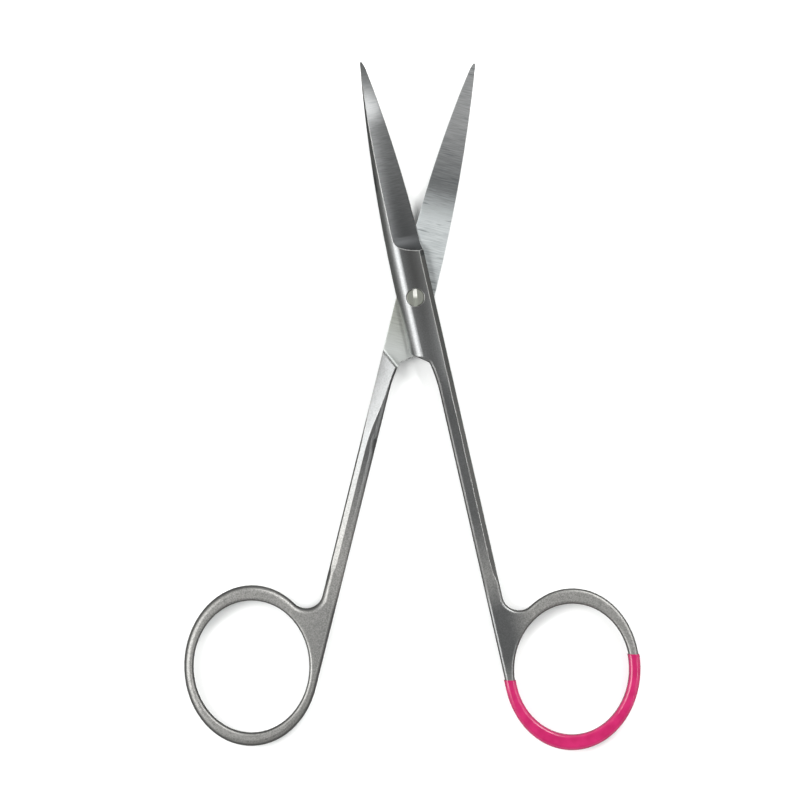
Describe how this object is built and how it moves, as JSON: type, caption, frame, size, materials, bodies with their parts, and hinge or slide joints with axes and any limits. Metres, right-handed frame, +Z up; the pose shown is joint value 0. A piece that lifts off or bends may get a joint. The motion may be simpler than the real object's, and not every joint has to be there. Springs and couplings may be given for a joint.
{
  "type": "iris scissors",
  "caption": "Fine straight surgical scissors lying open: bevelled sharp blades, slotted pivot screw, slim shanks, oval finger rings, pink colour coat on one ring.",
  "frame": {"origin": "on the pivot axis, at the underside of the joint, where the rear half's flat face and the screw's end are flush", "axes": "+Z up along the pivot axis to the screw's slotted head, +Y towards the blade tips on the line between the two halves, +X towards the front half's finger ring"},
  "size_m": [0.073, 0.1099, 0.0044],
  "materials": {
    "satin_steel": "satin, ground and bead blasted",
    "screw_steel": "turned and ground flush",
    "pink_coat": "glossy dip coat"
  },
  "bodies": {
    "rear": {"rear_half": "satin_steel", "pivot_screw": "screw_steel"},
    "front": {"front_half": "satin_steel", "ring_coating": "pink_coat"}
  },
  "joints": [
    {"name": "blade_pivot", "type": "hinge", "parent": "rear", "child": "front", "pos_m": [0, 0, 0.0022], "axis": [0, 0, 1], "range_deg": [-27.2, 105]}
  ]
}
